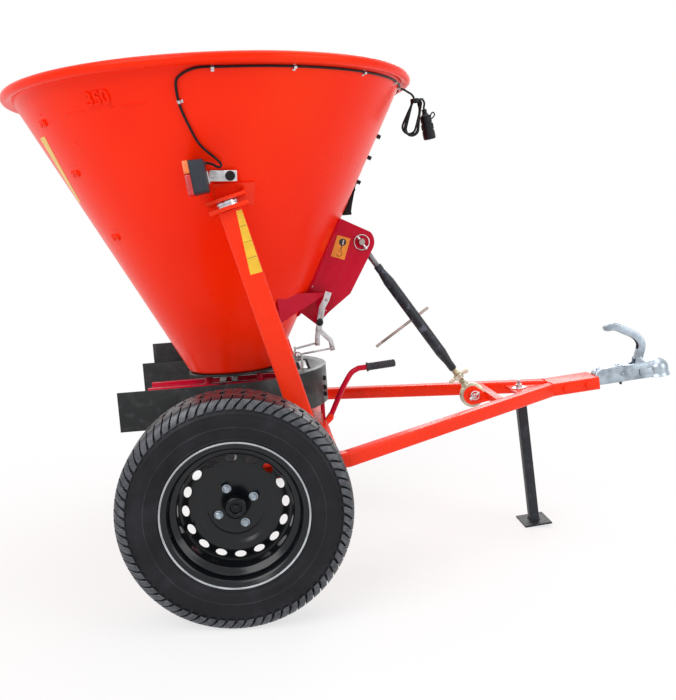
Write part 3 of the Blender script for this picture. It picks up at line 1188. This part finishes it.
def top_link():
    """Threaded brace: two screws with eyes, a turned sleeve with its tommy bar, and a wing nut."""
    upper = Vector((TOP_LINK_UPPER[0], 0, TOP_LINK_UPPER[1]))
    lower = Vector((TOP_LINK_LOWER[0], 0, TOP_LINK_LOWER[1]))
    along = (lower - upper).normalized()
    length = (lower - upper).length
    turn = Matrix((Vector((-along.z, 0, along.x)), Vector((0, -1, 0)), along)).transposed()
    frame = empty("top_link_frame", ROOT, Matrix.Translation(upper) @ turn.to_4x4())

    bore = LINK_SCREW_RADIUS + GAP
    screw_end = SLEEVE_START + 0.060
    eye(frame, "top_link_upper_screw", 0.0, LINK_EYE_RADIUS, LINK_PIN_RADIUS, screw_end, "zinc")
    eye(frame, "top_link_lower_screw", length, LOWER_EYE_RADIUS, LOWER_PIN_RADIUS, SLEEVE_END - 0.060, "yellow_zinc")

    depth = 0.064
    middle = (0, 0, TOMMY_BAR_PLACE)
    upper_bore = rod("sleeve_upper_bore", (0, 0, SLEEVE_START - 0.01), (0, 0, SLEEVE_START + depth), bore, "black_paint", frame, 14)
    profile = [
        (0, SLEEVE_START), (SLEEVE_RADIUS, SLEEVE_START), (SLEEVE_RADIUS, SLEEVE_START + 0.030),
        (SLEEVE_SWELL_RADIUS, SLEEVE_SWELL), (SLEEVE_SWELL_RADIUS, SLEEVE_TAPER), (SLEEVE_RADIUS, SLEEVE_END),
        (0, SLEEVE_END),
    ]
    sleeve = turned("turnbuckle_body", profile, (0, 0, 0), (0, 0, 1), 16, "black_paint", frame, middle)
    lower_bore = rod("sleeve_lower_bore", (0, 0, SLEEVE_END - depth), (0, 0, SLEEVE_END + 0.01), bore, "black_paint", frame, 14)
    cross_bore = rod("sleeve_cross_bore", (0.05, 0, TOMMY_BAR_PLACE), (-0.05, 0, TOMMY_BAR_PLACE),
                     TOMMY_BAR_RADIUS + GAP, "black_paint", frame, 12)
    cut(sleeve, upper_bore, lower_bore, cross_bore)
    rod("tommy_bar", (-TOMMY_BAR_LONG, 0, TOMMY_BAR_PLACE), (TOMMY_BAR_SHORT, 0, TOMMY_BAR_PLACE), TOMMY_BAR_RADIUS,
        "steel", frame, 12, middle)

    place = SLEEVE_END + 0.030
    wing_middle = (0, 0, place)
    nut = turned("wing_nut", [(0, place - 0.009), (0.016, place - 0.009), (0.016, place + 0.009), (0, place + 0.009)],
                 (0, 0, 0), (0, 0, 1), 12, "yellow_zinc", frame, wing_middle)
    wings = bmesh.new()
    for sign in (-1, 1):
        add_strut(wings, rectangle(0.008, 0.012), (0, 1, 0), (0, 0, 1), (sign * 0.010, 0, place), (sign * 0.037, 0, place))
    join(nut, from_bmesh("wings", wings, "yellow_zinc", frame))
    cut(nut, rod("wing_nut_bore", (0, 0, place - 0.02), (0, 0, place + 0.02), bore + GAP, "yellow_zinc", frame, 14))

    pu, pw = lower_pin_place()
    outer = LINK_EYE_WIDTH / 2 + 0.0065
    profile = [(0, -outer - 0.018), (LOWER_PIN_RADIUS, -outer - 0.018), (LOWER_PIN_RADIUS, outer + GAP),
               (0.012, outer + GAP), (0.012, outer + 0.005), (0, outer + 0.005)]
    turned("lower_link_pin", profile, (pu, 0, pw), (0, 1, 0), 12, "zinc", CHASSIS)


def eye(frame, name, place, radius, pin_radius, screw_end, material):
    """A screw with a round eye, whose pin runs across the link."""
    half = LINK_EYE_WIDTH / 2
    base = (0, -half, place)
    made = turned(name, [(0, 0), (radius, 0), (radius, 2 * half), (0, 2 * half)], base, (0, 1, 0), 18, material, frame)
    towards = 1 if screw_end > place else -1
    join(made, rod(f"{name}_thread", (0, 0, place + towards * radius * 0.6), (0, 0, screw_end),
                   LINK_SCREW_RADIUS, material, frame, 14))
    cut(made, rod(f"{name}_bore", (0, -0.03, place), (0, 0.03, place), pin_radius + GAP, material, frame, 12))


# Levers

def dosing_lever():
    """Forked flat lever beside the hopper bracket; its two prongs move the shutters."""
    px, pz = DOSING_PIVOT
    pivot = (px, -(DOSING_PLATE_INNER + DOSING_PLATE_OUTER) / 2, pz)
    stem = [(0.3085, 0.4745), (0.3000, 0.4520), (0.2860, 0.4300), (px, pz), (px - 0.006, 0.3560)]
    outline = thick_line(stem, 0.0095)
    low, high = -DOSING_PLATE_OUTER, -DOSING_PLATE_INNER
    lever = prism("dosing_lever", outline, low, high, "y", "zinc", HOPPER, pivot)
    prongs = bmesh.new()
    add_prism(prongs, thick_line([(px - 0.004, 0.366), (px - 0.010, 0.342), (PRONG_A[0], PRONG_A[1] - 0.008)], 0.0075),
              low, high, "y")
    fork = bmesh.new()
    add_prism(fork, thick_line([(px - 0.006, 0.364), (px + 0.012, 0.344), (px + 0.030, 0.326), (PRONG_B[0], PRONG_B[1] - 0.008)], 0.0075),
              low + 0.0001, high - 0.0001, "y")
    join(lever, from_bmesh("dosing_prong_a", prongs, "zinc", HOPPER), from_bmesh("dosing_prong_b", fork, "zinc", HOPPER))
    cut(lever, rod("dosing_bore", (px, -0.12, pz), (px, -0.05, pz), DOSING_PIN_RADIUS + GAP, "zinc", HOPPER, 12))


def engage_lever():
    """Bent hand lever with a rubber grip, hinged between two ears on the front tube."""
    u, w = ENGAGE_PIVOT
    pivot = Vector((u, ENGAGE_SIDE, w))
    bend = [Vector((a, ENGAGE_SIDE, b)) for a, b in ((0.345, 0.146), (0.3765, 0.187), (0.402, ENGAGE_TOP))]
    end = Vector((ENGAGE_GRIP_START + 0.034, ENGAGE_SIDE, ENGAGE_TOP))
    route = [pivot] + smooth_curve(bend, 3) + [end]
    bm = bmesh.new()
    add_pipe(bm, route, ENGAGE_RADIUS, 10)
    lever = from_bmesh("engage_lever", bm, "red_paint", CHASSIS, pivot, round_piece=True)
    pin = 0.004
    low, high = Vector((u, ENGAGE_SIDE - 0.020, w)), Vector((u, ENGAGE_SIDE + 0.020, w))
    join(lever, rod("engage_eye", pivot - Vector((0, ENGAGE_RADIUS, 0)), pivot + Vector((0, ENGAGE_RADIUS, 0)),
                    ENGAGE_RADIUS + 0.001, "red_paint", CHASSIS, 12))
    cut(lever, rod("engage_bore", low, high, pin + GAP, "red_paint", CHASSIS, 10))

    face = FRONT_TUBE_REAR + TUBE
    inner = ENGAGE_RADIUS + GAP
    ears = bmesh.new()
    outline = [(face - 0.006, TUBE_TOP - 0.022), (u + 0.006, w - 0.009), (u + 0.009, w), (u + 0.006, w + 0.008), (u - 0.004, w + 0.009),
               (face - 0.006, TUBE_TOP - 0.004)]
    for _, sign in SIDES:
        first, second = sorted((ENGAGE_SIDE + sign * inner, ENGAGE_SIDE + sign * (inner + 0.004)))
        add_prism(ears, outline, first, second, "y")
    tube = bpy.data.objects["frame_front_tube"]
    join(tube, from_bmesh("engage_ears", ears, "red_paint", CHASSIS),
         rod("engage_pin", low + Vector((0, 0.006, 0)), high - Vector((0, 0.006, 0)), pin, "red_paint", CHASSIS, 10))

    bore = ENGAGE_RADIUS + 2 * GAP
    outer = ENGAGE_RADIUS + 0.0035
    length = ENGAGE_GRIP_LENGTH
    profile = [(bore, 0), (outer, 0), (outer, length - 0.004), (ENGAGE_RADIUS, length), (0, length), (0, 0.0345), (bore, 0.0345)]
    turned("engage_grip", profile, (ENGAGE_GRIP_START, ENGAGE_SIDE, ENGAGE_TOP), (1, 0, 0), 14, "black_plastic", CHASSIS, pivot)


# Lamps

def lamps():
    """A rear lamp on each side, on a bracket that stands off the hopper on a rubber mount."""
    for side, sign in SIDES:
        x, y, z = LAMP_CENTRE
        frame = empty(f"lamp_frame_{side}", ROOT,
                      Matrix.Translation((x, sign * y, z)) @ Matrix.Rotation(-LAMP_LEAN, 4, "Y"))
        depth = LENS_DEPTH + LAMP_DEPTH
        split = -depth / 2 + LENS_DEPTH
        plan = rectangle(2 * LAMP_HALF_WIDTH, 2 * LAMP_HALF_HEIGHT, 0.005)
        prism(f"lamp_lens_{side}", plan, -depth / 2, split - GAP, "x", "lens_plastic", frame)
        prism(f"lamp_housing_{side}", plan, split, depth / 2, "x", "black_plastic", frame)

        front = depth / 2 + GAP
        inner = sign * (LAMP_STRIP_INNER - y)
        reach = sign * -(LAMP_HALF_WIDTH - 0.030)
        low, high = sorted((inner, reach))
        bracket = box(f"lamp_bracket_{side}", (front, low, -0.020), (front + LAMP_STRIP, high, 0.014), "zinc", frame)
        strip_low, strip_high = sorted((sign * LAMP_STRIP_INNER, sign * (LAMP_STRIP_INNER + LAMP_STRIP)))
        middle = LAMP_STRIP_HEIGHT
        strip = box(f"lamp_strip_{side}", (-0.0505, strip_low, middle - LAMP_STRIP_HALF),
                    (0.020, strip_high, middle + LAMP_STRIP_HALF), "zinc", ROOT)
        mount = rod(f"lamp_mount_{side}", (0.0026, sign * (LAMP_STRIP_INNER - 0.045), middle),
                    (0.0026, sign * (LAMP_STRIP_INNER + 0.010), middle), GROMMET_RADIUS, "zinc", ROOT, 16)
        join(bracket, strip, mount)
        cut(bracket, hopper_space(f"lamp_hopper_space_{side}"))


# Lighting cables

def lamp_cable_route(sign):
    """Route from a lamp's front face, round under the rim to the front, in the hopper frame."""
    x, y, z = LAMP_CENTRE
    lamp = Matrix.Translation((x, sign * y, z)) @ Matrix.Rotation(-LAMP_LEAN, 4, "Y")
    face = (LENS_DEPTH + LAMP_DEPTH) / 2 + GAP
    leave = [lamp @ Vector((face + step, -sign * 0.0425, 0.034)) for step in (0, CABLE_RADIUS * 2)]
    hairpin = [Vector((a, sign * (y - b), z + c)) for a, b, c in (
        (-0.0400, 0.0435, 0.0355), (-0.0285, 0.0450, 0.0290), (-0.0190, 0.0465, 0.0310),
        (-0.0215, 0.0450, 0.0400), (-0.0330, 0.0410, 0.0510),
    )]
    start = [WORLD_IN_HOPPER @ place for place in leave + hairpin]
    off = CABLE_RADIUS + 0.0006
    rise = [(-92.5, 0.898), (-94.7, 0.939), (-96.3, 0.985), (-96.6, 1.026), (-95.6, 1.052)]
    rise = [hopper_point(-sign * angle, height, off) for angle, height in rise]
    end = HANK_EXIT - math.degrees(3 * GAP / wall_radius(LIP_RUN_HEIGHT)) if sign < 0 else FAR_CABLE_END
    run = [hopper_point(sign * 91 + (end - sign * 91) * i / 12, LIP_RUN_HEIGHT, off) for i in range(13)]
    steps = 6
    route = smooth_curve(start + rise + run, steps)
    turn = steps * (len(start) - 1)
    tight = evenly(route[steps:turn + 1], 0.0080)
    return [route[0]] + tight + evenly(route[turn:], 0.0195)[1:]


def hank_loop_point(turn):
    """Point of the hank after a number of turns, each down the left run and up the right one."""
    top, fold, drop = HANK_TOP_RADIUS, HANK_FOLD_RADIUS, HANK_DROP
    lean = math.asin((fold - top) / drop)
    run = math.sqrt(drop ** 2 - (fold - top) ** 2)
    fold_arc = fold * (math.pi + 2 * lean)
    top_arc = top * (math.pi - 2 * lean)
    whole = 2 * run + fold_arc + top_arc
    layer = math.floor(turn)
    place = (turn - layer) * whole
    normal = Vector((-math.cos(lean), math.sin(lean)))
    down = Vector((-math.sin(lean), -math.cos(lean)))
    climb = 1.0
    if place < run:
        flat = normal * top + down * place
        climb = 0.5 - 0.5 * math.cos(math.pi * place / run)
    elif place < run + fold_arc:
        angle = math.pi - lean + (place - run) / fold
        flat = Vector((0, -drop)) + Vector((math.cos(angle), math.sin(angle))) * fold
    elif place < 2 * run + fold_arc:
        flat = Vector((0, -drop)) + Vector((-normal.x, normal.y)) * fold
        flat += Vector((down.x, -down.y)) * (place - run - fold_arc)
    else:
        angle = lean + (place - 2 * run - fold_arc) / top
        flat = Vector((math.cos(angle), math.sin(angle))) * top
    spread = math.radians(25 - 13 * min(1.0, turn / 2.0))
    turned_flat = Matrix.Rotation(-spread, 2) @ flat
    centre = Vector(HANK_TOP)
    return Vector((centre.x + turned_flat.x, centre.y + HANK_PITCH * (layer + climb), centre.z + turned_flat.y))


def hank_route():
    """The free end: out from under the rim, round the folded loops, then down into the plug."""
    off = CABLE_RADIUS + 0.0006
    first = hank_loop_point(0.0)
    entry = [
        hopper_point(HANK_EXIT, LIP_RUN_HEIGHT, off), hopper_point(HANK_EXIT + 1.5, LIP_RUN_HEIGHT, off),
        Vector((0.586, -0.033, 1.0655)), Vector((0.6035, -0.0275, 1.0585)), Vector((0.6115, -0.0260, 1.0450)), first,
    ]
    loops = [hank_loop_point(i / HANK_POINTS_PER_LOOP) for i in range(1, HANK_LOOPS * HANK_POINTS_PER_LOOP + 1)]
    end_part = []
    step = 1 / HANK_POINTS_PER_LOOP
    turn = HANK_LOOPS + step
    while turn < HANK_LOOPS + 0.76:
        end_part.append(hank_loop_point(turn))
        turn += step
    plug = Vector(PLUG_TOP)
    leave = end_part[-1]
    away = [
        leave + Vector((0.004, 0.001, 0.010)), Vector(((leave.x + plug.x) / 2 + 0.004, plug.y, leave.z + 0.019)),
        plug - PLUG_LEAN * 0.012, plug - PLUG_LEAN * GAP,
    ]
    entry = evenly(smooth_curve(entry, 6), 0.0110)
    away = evenly(smooth_curve([leave] + away, 6), 0.0090)
    return entry + loops + end_part + away[1:]


def least_gap(points):
    """Least gap of a tube to itself, between stretches that are not next to each other."""
    least = 1.0
    skip = 4 * CABLE_RADIUS
    lengths = [0.0]
    for a, b in zip(points, points[1:]):
        lengths.append(lengths[-1] + (b - a).length)
    for i, first in enumerate(points):
        for j in range(i + 2, len(points) - 1):
            if lengths[j] - lengths[i] < skip * 2:
                continue
            a, b = points[j], points[j + 1]
            t = max(0.0, min(1.0, (first - a).dot(b - a) / (b - a).length_squared))
            least = min(least, (first - a.lerp(b, t)).length - 2 * CABLE_RADIUS)
    return least


def cables():
    """Both lamp cables, the folded free end and its plug."""
    for side, sign in SIDES:
        cable(f"wiring_cable_{side}", lamp_cable_route(sign), HOPPER, 2)
    route = hank_route()
    cable("cable_hank", route, HOPPER, 1)
    print("cable_hank least gap to itself", round(least_gap(route) * 1000, 2), "mm")
    profile = [(0, 0), (0.0085, 0), (0.0095, 0.016), (0.0165, 0.022), (0.0185, 0.040), (0.0195, 0.088), (0.0185, 0.093),
               (0, 0.093)]
    turned("plug", profile, PLUG_TOP, PLUG_LEAN, 14, "black_plastic", HOPPER)


for wheel_side, wheel_sign in SIDES:
    wheel(wheel_side, wheel_sign)
axle()
chassis()
coupling()
stand()
hopper()
shutters()
spinner()
gearbox()
guard()
spreader_frame()
posts()
top_link_bracket()
top_link()
dosing_lever()
engage_lever()
lamps()
cables()

# Move the part so that its origin is under the middle of its box
CORD_NODES = ("cable_hank", "plug")
bpy.context.view_layer.update()
graph = bpy.context.evaluated_depsgraph_get()
extent = []
for node in bpy.data.objects:
    if node.type == "EMPTY" or node.hide_render or node.name in CORD_NODES:
        continue
    evaluated = node.evaluated_get(graph)
    mesh = evaluated.to_mesh()
    extent += [(evaluated.matrix_world @ vert.co).x for vert in mesh.vertices]
    evaluated.to_mesh_clear()
ROOT.location.x = -(min(extent) + max(extent)) / 2
print("axle at X", round(ROOT.location.x, 5))
